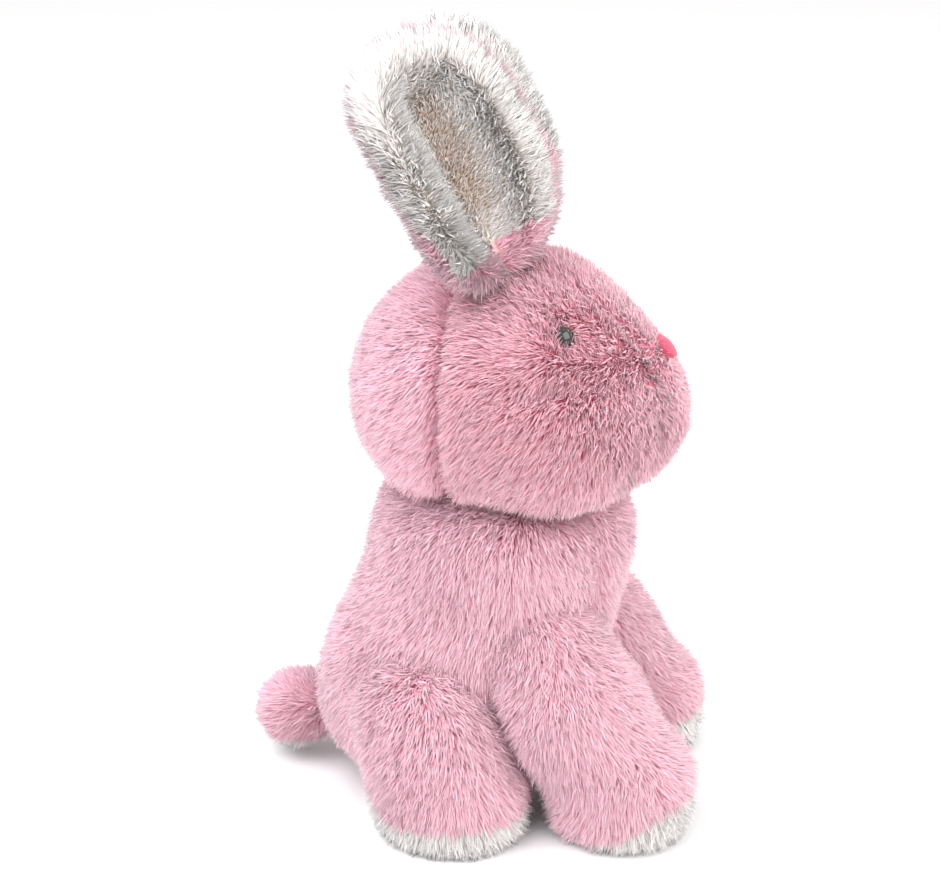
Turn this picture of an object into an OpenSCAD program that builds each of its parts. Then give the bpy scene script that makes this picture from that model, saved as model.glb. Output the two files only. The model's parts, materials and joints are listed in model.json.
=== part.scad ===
// Sitting plush rabbit with long pile, two cupped ears, four short legs and a
// round tail. Every stuffed piece is a pile fabric cover over a stuffing core.
// The rabbit faces -Y and stands on Z = 0. Its right side is at -X.

/* [Head] */
// Radius of the round back of the head
skull_r = 50; // [44:1:56]
// Radius of the muzzle
muzzle_r = 33; // [28:1:36]
// Height of the centre of the skull above the floor
head_z = 168; // [160:1:176]
// Distance of the muzzle centre in front of the skull centre
muzzle_reach = 39; // [34:1:44]
// Distance of the muzzle centre below the skull centre
muzzle_drop = 9; // [4:1:14]
// Width of the strip of fabric that runs from the neck over the forehead
gusset_w = 26; // [18:1:36]
// Position of the seam between face and back of the head, in front of the origin
seam_y = 2; // [-4:1:8]

/* [Ears] */
// Length of one ear from its hinge to its tip
ear_l = 83; // [70:1:96]
// Half of the ear's width at its widest
ear_half_w = 26; // [18:1:28]
// Outer radius of the ear's cupped cross-section
ear_cup_r = 28; // [24:1:32]
// Thickness of the pink outer layer of the ear
ear_outer_t = 6; // [4:0.5:8]
// Thickness of the white inner layer of the ear
ear_inner_t = 7; // [4:0.5:9]
// Angle by which the ears lean back
ear_lean = 28; // [0:1:35]
// Extra angle by which the left ear flops back
ear_flop = 0; // [0:1:20]
// Angle by which the ears lean out to the sides
ear_splay = 5; // [0:1:20]
// Angle by which the ears' openings are turned out to the sides
ear_yaw = 45; // [0:1:50]

/* [Body] */
// Radius of the lower body
belly_r = 48; // [42:1:54]
// Height of the centre of the lower body
belly_z = 44; // [40:1:50]
// Radius of the chest, just under the head
chest_r = 47; // [42:1:50]
// Height of the centre of the chest
chest_z = 94; // [88:1:98]
// Thickness of the pile fabric, with its pile laid flat
pile_t = 6; // [3:0.5:9]

/* [Legs] */
// Radius of a front leg at the shoulder
shoulder_r = 21; // [18:1:24]
// Radius of a rear leg at the hip
hip_r = 23; // [18:1:25]
// Radius of a foot
foot_r = 24; // [20:1:26]
// Height of the white fabric around a sole
sole_h = 10; // [6:1:14]

/* [Tail] */
// Radius of the tail
tail_r = 16.5; // [12:0.5:20]

/* [Face details] */
// Diameter of an eye
eye_d = 10; // [8:0.5:12]
// Radius of the nose seen from the front
nose_r = 5.5; // [4:0.5:8]

/* [Hidden] */
// Smoothness of round surfaces
round_fn = 96;
// Clearance between bodies that turn in one another
gap = 0.5;
// How far straight sides are tucked in between two round ends
tuck = 0.8;
// A length greater than the whole rabbit, for cutting planes
big = 400;

// Centre of the skull, which the head turns and nods about
head_at = [0, -8, head_z];
// Centre of the muzzle
muzzle_at = head_at + [0, -muzzle_reach, -muzzle_drop];
// Height that parts the forehead strip from the chin
mouth_z = muzzle_at[2] - 1;

// Centre of the lower body and of the chest
belly_at = [0, 12, belly_z];
chest_at = [0, -10, chest_z];
// Height of the collar on the neck's axis, and its rise towards the back
collar_z = 121;
collar_tilt = 15;
// Half of the seam's width down the middle of the back
seam_half_w = 0.02;
// Half width of the belly panel, and the plane behind which there is none
belly_half_w = 20;
belly_back_y = 4;
// Radius and height of the seat panel
seat_r = 26;
seat_h = 8;

// Radius, foot and top of the stuffing plug inside the neck
neck_r = 20;
neck_z0 = 90;
neck_z1 = 124;
// How far the head nods forward, which the neck leaves room for
nod_down = 10;

// Centres of the joints of the left legs, and of the left feet
shoulder_at = [27, -28, 70];
front_foot_at = [35, -68.5, 24];
hip_at = [36, 12, 46];
rear_foot_at = [43, -2, 24];
// Extra radius around the feet that leaves the legs room to swing
front_swing = 9;
rear_swing = 6.5;
// Extra radius of that room at the joint, and its height above a foot's centre
room_at_joint = 2.5;
room_over_foot = 13;
// Radius of the rounded edge of a sole
sole_edge = 5;

// Root and centre of the tail
tail_root_r = 9;
// Room around the root that lets the tail wag
tail_room = 2;
tail_root_at = [0, 57, 20];
tail_at = [0, 76, 20];

// Hinge of the left ear, just clear of the skull
ear_root_r = 8.5;
ear_dir = [24, -6, 54];
ear_at = head_at + ear_dir / norm(ear_dir) * (skull_r + ear_root_r + gap + 0.3);
// Distance of the ear's widest place and of its round top from the hinge
ear_wide_w = 44;
ear_top_w = 62;
ear_top_r = ear_l - ear_top_w;
// Where the cupped layers begin, and how far the cup's axis stands in front
ear_sheet_w = 3;
ear_axis_v = -18;

// Stem and washer that hold an eye or the nose
stem_r = 2;
stem_l = 13;
washer_r = 7;
washer_t = 1.6;
// Space between a washer's rim and the fabric
washer_gap = 0.15;
// Depth of the foot of an eye and of the nose in the pile
eye_sink = 4.5;
nose_sink = 2.5;
// Direction of the left eye from the centre of the skull
eye_dir = [31, -29, 27];
// Direction of the nose from the centre of the muzzle
nose_dir = [0, -22, 24];
// Radius of the nose's domed front
nose_dome_r = 10;

head_pink = [0.90, 0.60, 0.66];
body_pink = [0.95, 0.68, 0.75];
cream = [0.93, 0.90, 0.86];
fill_white = [0.97, 0.97, 0.97];
nose_pink = [0.85, 0.35, 0.47];
eye_black = [0.06, 0.04, 0.05];
washer_white = [0.85, 0.85, 0.85];

// ---- shared shapes ----

// Turns +Z to the direction d
module aim(d) {
    rotate([0, acos(d[2] / norm(d)), atan2(d[1], d[0])])
        children();
}

// An outline of two round ends joined by straight sides, upright along Y. The
// sides are tucked in a little, so that they meet the ends at a soft crease.
module taper_outline(a, ra, b, rb) {
    len = b - a;
    s = (ra - rb) / len;
    c = sqrt(1 - s * s);
    wa = ra * c - tuck;
    wb = rb * c - tuck;
    translate([0, a])
        circle(r = ra, $fn = round_fn);
    translate([0, b])
        circle(r = rb, $fn = round_fn);
    polygon([[-wa, a + ra * s], [wa, a + ra * s], [wb, b + rb * s], [-wb, b + rb * s]]);
}

// That outline turned into a solid: a ball of radius ra at a that tapers to a
// ball of radius rb at b
module taper(a, ra, b, rb) {
    d = b - a;
    translate(a)
        aim(d)
            rotate_extrude($fn = round_fn)
                intersection() {
                    taper_outline(0, ra, norm(d), rb);
                    translate([0, -ra])
                        square([ra + rb, norm(d) + ra + rb]);
                }
}

// Everything in front of the plane Y = y
module ahead_of(y) {
    translate([-big / 2, y - big, -big / 2])
        cube([big, big, 2 * big]);
}

// Everything behind the plane Y = y
module behind(y) {
    translate([-big / 2, y, -big / 2])
        cube([big, big, 2 * big]);
}

// Everything on the left of the plane X = x
module left_of(x) {
    translate([x, -big / 2, -big / 2])
        cube([big, big, 2 * big]);
}

// Everything above or below the plane Z = z
module above(z) {
    translate([-big / 2, -big / 2, z])
        cube([big, big, big]);
}

module below(z) {
    translate([-big / 2, -big / 2, z - big])
        cube([big, big, big]);
}

// A strip of width w centred on X = 0
module middle(w) {
    translate([-w / 2, -big / 2, -big / 2])
        cube([w, big, 2 * big]);
}

// The left piece as drawn, or its mirror image on the right
module side(left) {
    if (left)
        children();
    else
        mirror([1, 0, 0])
            children();
}

// ---- head ----

module head_form(grow) {
    taper(head_at, skull_r + grow, muzzle_at, muzzle_r + grow);
}

module head_shell() {
    difference() {
        head_form(0);
        head_form(-pile_t);
    }
}

// An eye on its stem, with its base at the origin and facing +Z
module eye_form() {
    intersection() {
        sphere(r = eye_d / 2, $fn = round_fn);
        above(0);
    }
    translate([0, 0, -stem_l])
        cylinder(h = stem_l + 1, r = stem_r, $fn = round_fn);
}

// A nose on its stem, with its base at the origin and facing +Z
module nose_form() {
    intersection() {
        translate([0, 0, nose_sink - sqrt(pow(nose_dome_r, 2) - pow(nose_r, 2))])
            sphere(r = nose_dome_r, $fn = round_fn);
        cylinder(h = nose_dome_r, r = nose_r, $fn = round_fn);
    }
    translate([0, 0, -stem_l])
        cylinder(h = stem_l + 1, r = stem_r, $fn = round_fn);
}

// A lock washer on the same axis, clear of the fabric's round inner face, which
// has the given radius there, for a foot that is sunk by the given depth
module washer_form(inner_r, sink) {
    clear = inner_r - sqrt(pow(inner_r, 2) - pow(washer_r, 2)) + washer_gap;
    translate([0, 0, sink - pile_t - washer_t - clear])
        difference() {
            cylinder(h = washer_t, r = washer_r, $fn = round_fn);
            translate([0, 0, -1])
                cylinder(h = washer_t + 2, r = stem_r, $fn = round_fn);
        }
}

module at_eye() {
    translate(head_at + eye_dir / norm(eye_dir) * (skull_r - eye_sink))
        aim(eye_dir)
            children();
}

module at_nose() {
    translate(muzzle_at + nose_dir / norm(nose_dir) * (muzzle_r - nose_sink))
        aim(nose_dir)
            children();
}

module eye(left) {
    color(eye_black)
        side(left)
            at_eye()
                eye_form();
}

module eye_washer(left) {
    color(washer_white)
        side(left)
            at_eye()
                washer_form(skull_r - pile_t, eye_sink);
}

module nose() {
    color(nose_pink)
        at_nose()
            nose_form();
}

module nose_washer() {
    color(washer_white)
        at_nose()
            washer_form(muzzle_r - pile_t, nose_sink);
}

module head_back(left) {
    color(body_pink)
        side(left)
            intersection() {
                head_shell();
                behind(seam_y);
                left_of(0);
            }
}

module face_panel(left) {
    color(head_pink)
        side(left)
            difference() {
                intersection() {
                    head_shell();
                    ahead_of(seam_y);
                    left_of(gusset_w / 2);
                }
                at_eye()
                    eye_form();
            }
}

module forehead_gusset() {
    color(head_pink)
        difference() {
            intersection() {
                head_shell();
                ahead_of(seam_y);
                middle(gusset_w);
                above(mouth_z);
            }
            at_nose()
                nose_form();
        }
}

module chin_panel() {
    color(head_pink)
        intersection() {
            head_shell();
            ahead_of(seam_y);
            middle(gusset_w);
            below(mouth_z);
        }
}

// Everything that the eyes and the nose take out of the stuffing
module face_hardware() {
    for (left = [true, false])
        side(left)
            at_eye() {
                eye_form();
                washer_form(skull_r - pile_t, eye_sink);
            }
    at_nose() {
        nose_form();
        washer_form(muzzle_r - pile_t, nose_sink);
    }
}

module head_stuffing() {
    color(fill_white)
        difference() {
            head_form(-pile_t);
            face_hardware();
        }
}

// ---- ears ----

// The ear's outline, as thick as needed, with its hinge at the origin
module ear_blank() {
    rotate([90, 0, 0])
        linear_extrude(height = 4 * ear_cup_r, center = true)
            intersection() {
                union() {
                    taper_outline(0, ear_root_r, ear_wide_w, ear_half_w);
                    taper_outline(ear_wide_w, ear_half_w, ear_top_w, ear_top_r);
                }
                translate([-ear_l, ear_sheet_w])
                    square([2 * ear_l, 2 * ear_l]);
            }
}

// One cupped layer of the ear between two radii, open towards -Y
module ear_layer(r_out, r_in) {
    intersection() {
        ear_blank();
        translate([0, ear_axis_v, 0])
            difference() {
                cylinder(h = 2 * ear_l, r = r_out, $fn = round_fn);
                translate([0, 0, -1])
                    cylinder(h = 2 * ear_l + 2, r = r_in, $fn = round_fn);
            }
        behind(ear_axis_v);
    }
}

module at_ear(lean) {
    translate(ear_at)
        rotate([-lean, 0, 0])
            rotate([0, ear_splay, 0])
                rotate([0, 0, ear_yaw])
                    children();
}

module ear_outer(left) {
    color(body_pink)
        side(left)
            at_ear(left ? ear_lean + ear_flop : ear_lean) {
                ear_layer(ear_cup_r, ear_cup_r - ear_outer_t);
                difference() {
                    sphere(r = ear_root_r, $fn = round_fn);
                    translate([0, ear_axis_v, ear_sheet_w])
                        cylinder(h = ear_l, r = ear_cup_r - ear_outer_t, $fn = round_fn);
                }
            }
}

module ear_inner(left) {
    color(cream)
        side(left)
            at_ear(left ? ear_lean + ear_flop : ear_lean)
                ear_layer(ear_cup_r - ear_outer_t, ear_cup_r - ear_outer_t - ear_inner_t);
}

// ---- legs ----

// A leg with its flat-bottomed foot: j is its joint, f the centre of its foot
module leg_form(j, rj, f, rf) {
    taper(j, rj, f, rf);
    translate([f[0], f[1], sole_h])
        cylinder(h = f[2] - sole_h, r = rf - tuck, $fn = round_fn);
}

module leg_cover(j, rj, f) {
    intersection() {
        leg_form(j, rj, f, foot_r);
        above(sole_h);
    }
}

module leg_core(j, rj, f) {
    intersection() {
        leg_form(j, rj - pile_t, f, foot_r - pile_t);
        above(sole_h);
    }
}

module leg_sleeve(j, rj, f) {
    color(body_pink)
        difference() {
            leg_cover(j, rj, f);
            leg_core(j, rj, f);
        }
}

module leg_stuffing(j, rj, f) {
    color(fill_white)
        leg_core(j, rj, f);
}

// A white sole with a rounded lower edge
module sole(f) {
    color(cream)
        translate([f[0], f[1], 0])
            rotate_extrude($fn = round_fn)
                union() {
                    square([foot_r - sole_edge, sole_h]);
                    translate([0, sole_edge])
                        square([foot_r, sole_h - sole_edge]);
                    translate([foot_r - sole_edge, sole_edge])
                        circle(r = sole_edge, $fn = round_fn);
                }
}

module front_leg_sleeve(left) {
    side(left)
        leg_sleeve(shoulder_at, shoulder_r, front_foot_at);
}

module front_leg_stuffing(left) {
    side(left)
        leg_stuffing(shoulder_at, shoulder_r, front_foot_at);
}

module front_sole(left) {
    side(left)
        sole(front_foot_at);
}

module rear_leg_sleeve(left) {
    side(left)
        leg_sleeve(hip_at, hip_r, rear_foot_at);
}

module rear_leg_stuffing(left) {
    side(left)
        leg_stuffing(hip_at, hip_r, rear_foot_at);
}

module rear_sole(left) {
    side(left)
        sole(rear_foot_at);
}

// The room that one leg needs in the body: snug at its joint, wider at its foot
module leg_room(j, rj, f, swing) {
    translate(j)
        sphere(r = rj + gap, $fn = round_fn);
    translate(j)
        aim(f - j)
            cylinder(h = norm(f - j), r1 = rj + room_at_joint, r2 = foot_r + swing - 1, $fn = round_fn);
    translate([f[0], f[1], -1])
        cylinder(h = f[2] + room_over_foot, r = foot_r + swing, $fn = round_fn);
}

// ---- tail ----

module tail_form(grow) {
    taper(tail_root_at, tail_root_r + grow, tail_at, tail_r + grow);
}

module tail_shell() {
    difference() {
        tail_form(0);
        tail_form(-pile_t);
    }
}

module tail_top() {
    color(body_pink)
        intersection() {
            tail_shell();
            above(tail_at[2]);
        }
}

module tail_underside() {
    color(cream)
        intersection() {
            tail_shell();
            below(tail_at[2]);
        }
}

module tail_stuffing() {
    color(fill_white)
        tail_form(-pile_t);
}

// ---- body ----

module body_form(grow) {
    taper(belly_at, belly_r + grow, chest_at, chest_r + grow);
}

// What the head, the neck, the tail and the legs of the given sides take out of
// the body
module body_recesses(sides) {
    translate(head_at)
        sphere(r = skull_r + gap, $fn = round_fn);
    translate([0, head_at[1], collar_z])
        rotate([collar_tilt, 0, 0])
            above(0);
    translate([0, head_at[1], neck_z0 - gap])
        cylinder(h = big, r = neck_r + gap, $fn = round_fn);
    for (left = sides)
        side(left) {
            leg_room(shoulder_at, shoulder_r, front_foot_at, front_swing);
            leg_room(hip_at, hip_r, rear_foot_at, rear_swing);
        }
    translate(tail_root_at)
        sphere(r = tail_root_r + tail_room, $fn = round_fn);
}

module body_cover() {
    difference() {
        intersection() {
            body_form(0);
            above(0);
        }
        body_form(-pile_t);
        body_recesses([true, false]);
    }
}

module body_side_cover() {
    difference() {
        intersection() {
            body_form(0);
            above(0);
            left_of(seam_half_w);
        }
        body_form(-pile_t);
        body_recesses([true]);
    }
}

module seat_zone() {
    translate([belly_at[0], belly_at[1], 0])
        cylinder(h = seat_h, r = seat_r, $fn = round_fn);
}

module belly_zone() {
    intersection() {
        middle(2 * belly_half_w);
        ahead_of(belly_back_y);
    }
}

module seat_panel() {
    color(body_pink)
        intersection() {
            body_cover();
            seat_zone();
        }
}

module belly_panel() {
    color(body_pink)
        difference() {
            intersection() {
                body_cover();
                belly_zone();
            }
            seat_zone();
        }
}

module body_panel(left) {
    color(body_pink)
        side(left)
            difference() {
                body_side_cover();
                belly_zone();
                seat_zone();
            }
}

module body_stuffing() {
    color(fill_white)
        difference() {
            body_form(-pile_t);
            body_recesses([true, false]);
        }
}

module neck_stuffing() {
    color(fill_white)
        difference() {
            translate([0, head_at[1], neck_z0])
                cylinder(h = neck_z1 - neck_z0, r = neck_r, $fn = round_fn);
            translate(head_at)
                rotate([nod_down, 0, 0])
                    translate(-head_at)
                        head_form(gap);
        }
}

body_panel(true);  // body_panel_left
body_panel(false);  // body_panel_right
belly_panel();
seat_panel();
body_stuffing();
neck_stuffing();
head_back(true);  // head_back_left
head_back(false);  // head_back_right
face_panel(true);  // face_panel_left
face_panel(false);  // face_panel_right
forehead_gusset();
chin_panel();
head_stuffing();
nose();
nose_washer();
eye(true);  // eye_left
eye(false);  // eye_right
eye_washer(true);  // eye_washer_left
eye_washer(false);  // eye_washer_right
ear_outer(true);  // ear_outer_left
ear_outer(false);  // ear_outer_right
ear_inner(true);  // ear_inner_left
ear_inner(false);  // ear_inner_right
front_leg_sleeve(true);  // front_leg_sleeve_left
front_leg_sleeve(false);  // front_leg_sleeve_right
front_leg_stuffing(true);  // front_leg_stuffing_left
front_leg_stuffing(false);  // front_leg_stuffing_right
front_sole(true);  // front_sole_left
front_sole(false);  // front_sole_right
rear_leg_sleeve(true);  // rear_leg_sleeve_left
rear_leg_sleeve(false);  // rear_leg_sleeve_right
rear_leg_stuffing(true);  // rear_leg_stuffing_left
rear_leg_stuffing(false);  // rear_leg_stuffing_right
rear_sole(true);  // rear_sole_left
rear_sole(false);  // rear_sole_right
tail_top();
tail_underside();
tail_stuffing();
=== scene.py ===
# %% [markdown]
# A sitting plush rabbit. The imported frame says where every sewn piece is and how
# the head, ears, legs and tail move. This notebook gives each piece the look of
# long-pile fabric over soft stuffing. We start by loading the frame, because
# every later piece takes its place from it.

import json
import math

import bmesh
import bpy
import numpy as np
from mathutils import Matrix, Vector


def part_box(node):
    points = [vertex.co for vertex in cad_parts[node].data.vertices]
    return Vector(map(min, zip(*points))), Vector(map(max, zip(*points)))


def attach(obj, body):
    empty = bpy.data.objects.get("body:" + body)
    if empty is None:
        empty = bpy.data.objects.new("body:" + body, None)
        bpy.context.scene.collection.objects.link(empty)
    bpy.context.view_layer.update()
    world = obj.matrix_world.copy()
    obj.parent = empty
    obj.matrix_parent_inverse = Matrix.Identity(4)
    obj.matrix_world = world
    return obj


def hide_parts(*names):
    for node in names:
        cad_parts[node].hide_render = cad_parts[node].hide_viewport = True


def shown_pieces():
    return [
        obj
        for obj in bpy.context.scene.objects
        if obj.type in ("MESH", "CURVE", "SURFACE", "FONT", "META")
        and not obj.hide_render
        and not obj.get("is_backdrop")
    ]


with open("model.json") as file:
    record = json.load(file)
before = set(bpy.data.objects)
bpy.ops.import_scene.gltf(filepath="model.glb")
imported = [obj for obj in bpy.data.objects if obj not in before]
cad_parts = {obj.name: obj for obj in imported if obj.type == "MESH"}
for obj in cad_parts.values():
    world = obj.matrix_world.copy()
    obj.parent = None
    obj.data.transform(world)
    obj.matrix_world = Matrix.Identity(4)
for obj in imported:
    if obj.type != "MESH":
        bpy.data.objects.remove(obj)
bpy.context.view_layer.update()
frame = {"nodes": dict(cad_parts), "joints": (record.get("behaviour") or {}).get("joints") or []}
MM = 0.001
render_levels = 1


def add_object(name, data):
    """A new object with this data, put into the scene."""
    made = bpy.data.objects.new(name, data)
    bpy.context.scene.collection.objects.link(made)
    return made


# %% [markdown]
# The camera comes next. A toy of this size is usually looked at from close by,
# a little above its head, so a long lens about two thirds of a metre away gives
# the same strong near and far differences that the eye sees.

# %% Camera


def look_back(azimuth, elevation):
    """Unit vector from the target to the camera: azimuth turns from -Y towards
    +X about the vertical, elevation lifts it above the floor."""
    a, e = math.radians(azimuth), math.radians(elevation)
    return np.array([math.sin(a) * math.cos(e), -math.cos(a) * math.cos(e), math.sin(e)])


camera_data = bpy.data.cameras.new("camera")
camera_data.sensor_width = 36.0
camera_data.lens = 66.56
camera = add_object("camera", camera_data)
camera_target = np.array([0.0, 2.5, 142.0]) * MM
camera_distance = 652.0 * MM
camera_back = look_back(-80.0, 21.5)
camera.location = camera_target + camera_back * camera_distance
camera.rotation_mode = "QUATERNION"
camera.rotation_quaternion = Vector(-camera_back).to_track_quat("-Z", "Y")
camera_data.clip_start, camera_data.clip_end = 0.01, 20.0
bpy.context.scene.camera = camera
print("camera at", [round(v / MM) for v in camera.location])

# %% [markdown]
# Light on pile fabric should be broad, because a small hard lamp turns every
# strand into a bright spike. A large soft lamp stands high behind the rabbit's
# right shoulder, a weaker one in front of its face, and the room itself glows.

# %% Lights, room and floor
lamp_distance = 1.5
lamp_size = 1.3


def soft_lamp(name, azimuth, elevation, power, colour):
    """A square area lamp on a sphere round the camera's target, aimed at it."""
    data = bpy.data.lights.new(name, "AREA")
    data.shape, data.size, data.energy, data.color = "SQUARE", lamp_size, power, colour
    lamp = add_object(name, data)
    back = look_back(azimuth, elevation)
    lamp.location = camera_target + back * lamp_distance
    lamp.rotation_mode = "QUATERNION"
    lamp.rotation_quaternion = Vector(-back).to_track_quat("-Z", "Y")


soft_lamp("key", -138.0, 58.0, 22.0, (0.97, 0.96, 1.0))
soft_lamp("front", -22.0, 36.0, 13.0, (1.0, 0.97, 0.96))

world = bpy.data.worlds.new("room")
bpy.context.scene.world = world
world.use_nodes = True
glow = world.node_tree.nodes["Background"]
glow.inputs["Color"].default_value = (1.0, 0.99, 0.985, 1.0)
glow.inputs["Strength"].default_value = 0.95
bpy.context.scene.view_settings.view_transform = "Standard"


def new_material(name, levels):
    """A node material: returns it with its tree and its main shader, whose inputs
    are set to these levels."""
    material = bpy.data.materials.new(name)
    material.use_nodes = True
    shader = material.node_tree.nodes["Principled BSDF"]
    for socket_name, level in levels.items():
        shader.inputs[socket_name].default_value = level
    return material, material.node_tree, shader


floor_mesh = bpy.data.meshes.new("floor")
floor_half = 40.0
floor_mesh.from_pydata(
    [(-floor_half, -floor_half, 0), (floor_half, -floor_half, 0),
     (floor_half, floor_half, 0), (-floor_half, floor_half, 0)], [], [(0, 1, 2, 3)])
floor = add_object("floor", floor_mesh)
floor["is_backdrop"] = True
floor_paint, _, _ = new_material(
    "floor_paint", {"Base Color": (0.95, 0.95, 0.95, 1.0), "Roughness": 0.9})
floor_mesh.materials.append(floor_paint)
print("lamps and floor are in place")

# %% [markdown]
# Fur is full of smooth, slow changes: it swirls, clumps, and is darker in one
# place than in another. All of that comes from one small tool, a lattice of
# random numbers that is blended smoothly between its corners. It works on whole
# arrays of points, so a hundred thousand strands cost only a moment.

# %% Smooth random fields


def lattice_value(cells, seed):
    """A random number from 0 to 1 for each whole-numbered cell: the cell's three
    numbers and the seed are multiplied by large odd numbers, mixed and folded."""
    h = (cells[..., 0] * 374761393 + cells[..., 1] * 668265263
         + cells[..., 2] * 2147483647 + seed * 1274126177) & 0xFFFFFFFF
    h = ((h ^ (h >> 13)) * 1103515245) & 0xFFFFFFFF
    h = ((h ^ (h >> 16)) * 2654435761) & 0xFFFFFFFF
    return ((h ^ (h >> 15)) & 0xFFFFFF) / float(0xFFFFFF)


def drift(points, size, seed):
    """Smooth random field from -1 to 1 with features of the given size: the eight
    corners of each lattice cell are blended by 3t^2 - 2t^3 along each axis."""
    q = points / size
    base = np.floor(q).astype(np.int64)
    t = q - base
    t = t * t * (3.0 - 2.0 * t)
    total = np.zeros(len(points))
    for corner in range(8):
        step = np.array([corner & 1, (corner >> 1) & 1, corner >> 2])
        weight = np.prod(np.where(step, t, 1.0 - t), axis=-1)
        total += weight * lattice_value(base + step, seed)
    return total * 2.0 - 1.0


def drift3(points, size, seed):
    """Three independent smooth fields, as a vector for each point."""
    return np.stack([drift(points, size, seed + k) for k in range(3)], axis=-1)


def smoothstep(value, low, high):
    """0 below low, 1 above high, and 3t^2 - 2t^3 between them."""
    t = np.clip((value - low) / (high - low), 0.0, 1.0)
    return t * t * (3.0 - 2.0 * t)


def unit(vectors):
    """Each vector divided by its own length."""
    return vectors / np.maximum(np.linalg.norm(vectors, axis=-1, keepdims=True), 1e-9)


print("drift at the origin", round(float(drift(np.zeros((1, 3)), 10.0, 1)[0]), 3))

# %% [markdown]
# Each stuffed piece is a bag of cloth packed tight, so its shape is a few round
# masses that run into each other. We describe those masses as balls that are
# stretched along their own axes, and melt them together. A ray from the middle
# of the piece then meets the surface once in every direction, which gives a
# closed grid of points without any sculpting by hand.

# %% Melted balls and the surface around them
nap_height = 5.5 * MM
longest_ray = 160.0 * MM
halvings = 22


def turned(rx, ry, rz):
    """Rotation matrix for turns in degrees about X, then Y, then Z."""
    a, b, c = np.radians([rx, ry, rz])
    about_x = np.array([[1, 0, 0], [0, np.cos(a), -np.sin(a)], [0, np.sin(a), np.cos(a)]])
    about_y = np.array([[np.cos(b), 0, np.sin(b)], [0, 1, 0], [-np.sin(b), 0, np.cos(b)]])
    about_z = np.array([[np.cos(c), -np.sin(c), 0], [np.sin(c), np.cos(c), 0], [0, 0, 1]])
    return about_z @ about_y @ about_x


def ball(centre, radii, turn=(0, 0, 0)):
    """A stretched ball: its centre, its three radii in millimetres of fur
    envelope, and its turn."""
    return np.array(centre) * MM, np.array(radii) * MM, turned(*turn)


def mirrored(balls):
    """The same balls on the other side of the plane X = 0."""
    flip = np.diag([-1.0, 1.0, 1.0])
    return [(centre * [-1, 1, 1], radii, flip @ turn @ flip) for centre, radii, turn in balls]


def depth(points, balls, melt=6.0 * MM):
    """Distance outside the melted balls, negative inside: for each ball it is
    k (k - 1) / g, with k the length of point / radii and g the length of
    point / radii^2; then -m log(sum(exp(-d/m))) melts them with softness m."""
    total = np.zeros(len(points))
    for centre, radii, turn in balls:
        local = (points - centre) @ turn
        k = np.linalg.norm(local / radii, axis=1)
        reach = k * (k - 1.0) / np.maximum(np.linalg.norm(local / radii ** 2, axis=1), 1e-9)
        total += np.exp(np.clip(-reach / melt, -60.0, 60.0))
    return -melt * np.log(total)


def closed_grid(name, points, rows, columns, turned_over=False):
    """Mesh object of points that lie in rings. After them come one point that
    closes the first ring and one that closes the last."""
    ring = np.arange(rows * columns).reshape(rows, columns)
    right = np.roll(ring, -1, axis=1)
    quads = np.stack([ring[:-1], ring[1:], right[1:], right[:-1]], -1).reshape(-1, 4)
    first, last = rows * columns, rows * columns + 1
    caps = np.array([(first, i, j) for i, j in zip(ring[0], right[0])]
                    + [(last, j, i) for i, j in zip(ring[-1], right[-1])])
    if turned_over:
        quads, caps = quads[:, [0, 3, 2, 1]], caps[:, [0, 2, 1]]
    mesh = bpy.data.meshes.new(name)
    mesh.from_pydata(points.tolist(), [], quads.tolist() + caps.tolist())
    return add_object(name, mesh)


def star_surface(name, middle, balls, sink, rows=48, columns=72):
    """Closed grid around a middle point: direction (sin a cos b, sin a sin b,
    cos a) over a and b, with the distance found by halving the span between a
    point inside and one outside until it is where depth equals -sink."""
    middle = np.array(middle) * MM
    a = np.linspace(0.0, math.pi, rows + 2)[1:-1]
    b = np.linspace(0.0, 2.0 * math.pi, columns, endpoint=False)
    a, b = np.meshgrid(a, b, indexing="ij")
    rays = np.stack([np.sin(a) * np.cos(b), np.sin(a) * np.sin(b), np.cos(a)], -1).reshape(-1, 3)
    rays = np.concatenate([rays, [[0, 0, 1.0], [0, 0, -1.0]]])
    near, far = np.zeros(len(rays)), np.full(len(rays), longest_ray)
    for _ in range(halvings):
        half = (near + far) / 2.0
        inside = depth(middle + rays * half[:, None], balls) < -sink
        near, far = np.where(inside, half, near), np.where(inside, far, half)
    return closed_grid(name, middle + rays * near[:, None], rows, columns)


print("melted balls ready")

# %% [markdown]
# The plan of the whole rabbit: head, body, legs and tail as melted balls. The
# numbers are the sizes of the fur's outer face in millimetres, and the cloth
# lies one nap height below it.

# %% The rabbit's masses
head_balls = [
    ball((0, -9, 168), (50, 52, 48)),
    ball((0, 6, 160), (46, 40, 42)),
    ball((0, -50, 161), (33, 33, 33)),
    ball((0, -31, 185), (36, 38, 27), (28, 0, 0)),
]
cheek_balls = [ball((-24, -31, 154), (27, 34, 30))]
head_balls += cheek_balls + mirrored(cheek_balls)
head_middle = (0, -18, 166)

body_balls = [
    ball((0, 13, 32), (46, 50, 32)),
    ball((0, 9, 50), (47, 52, 44)),
    ball((0, -5, 80), (46, 51, 44)),
    ball((0, -11, 105), (46, 49, 34)),
    ball((0, -11, 116), (44, 46, 24)),
]
body_middle = (0, 0, 74)

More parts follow.
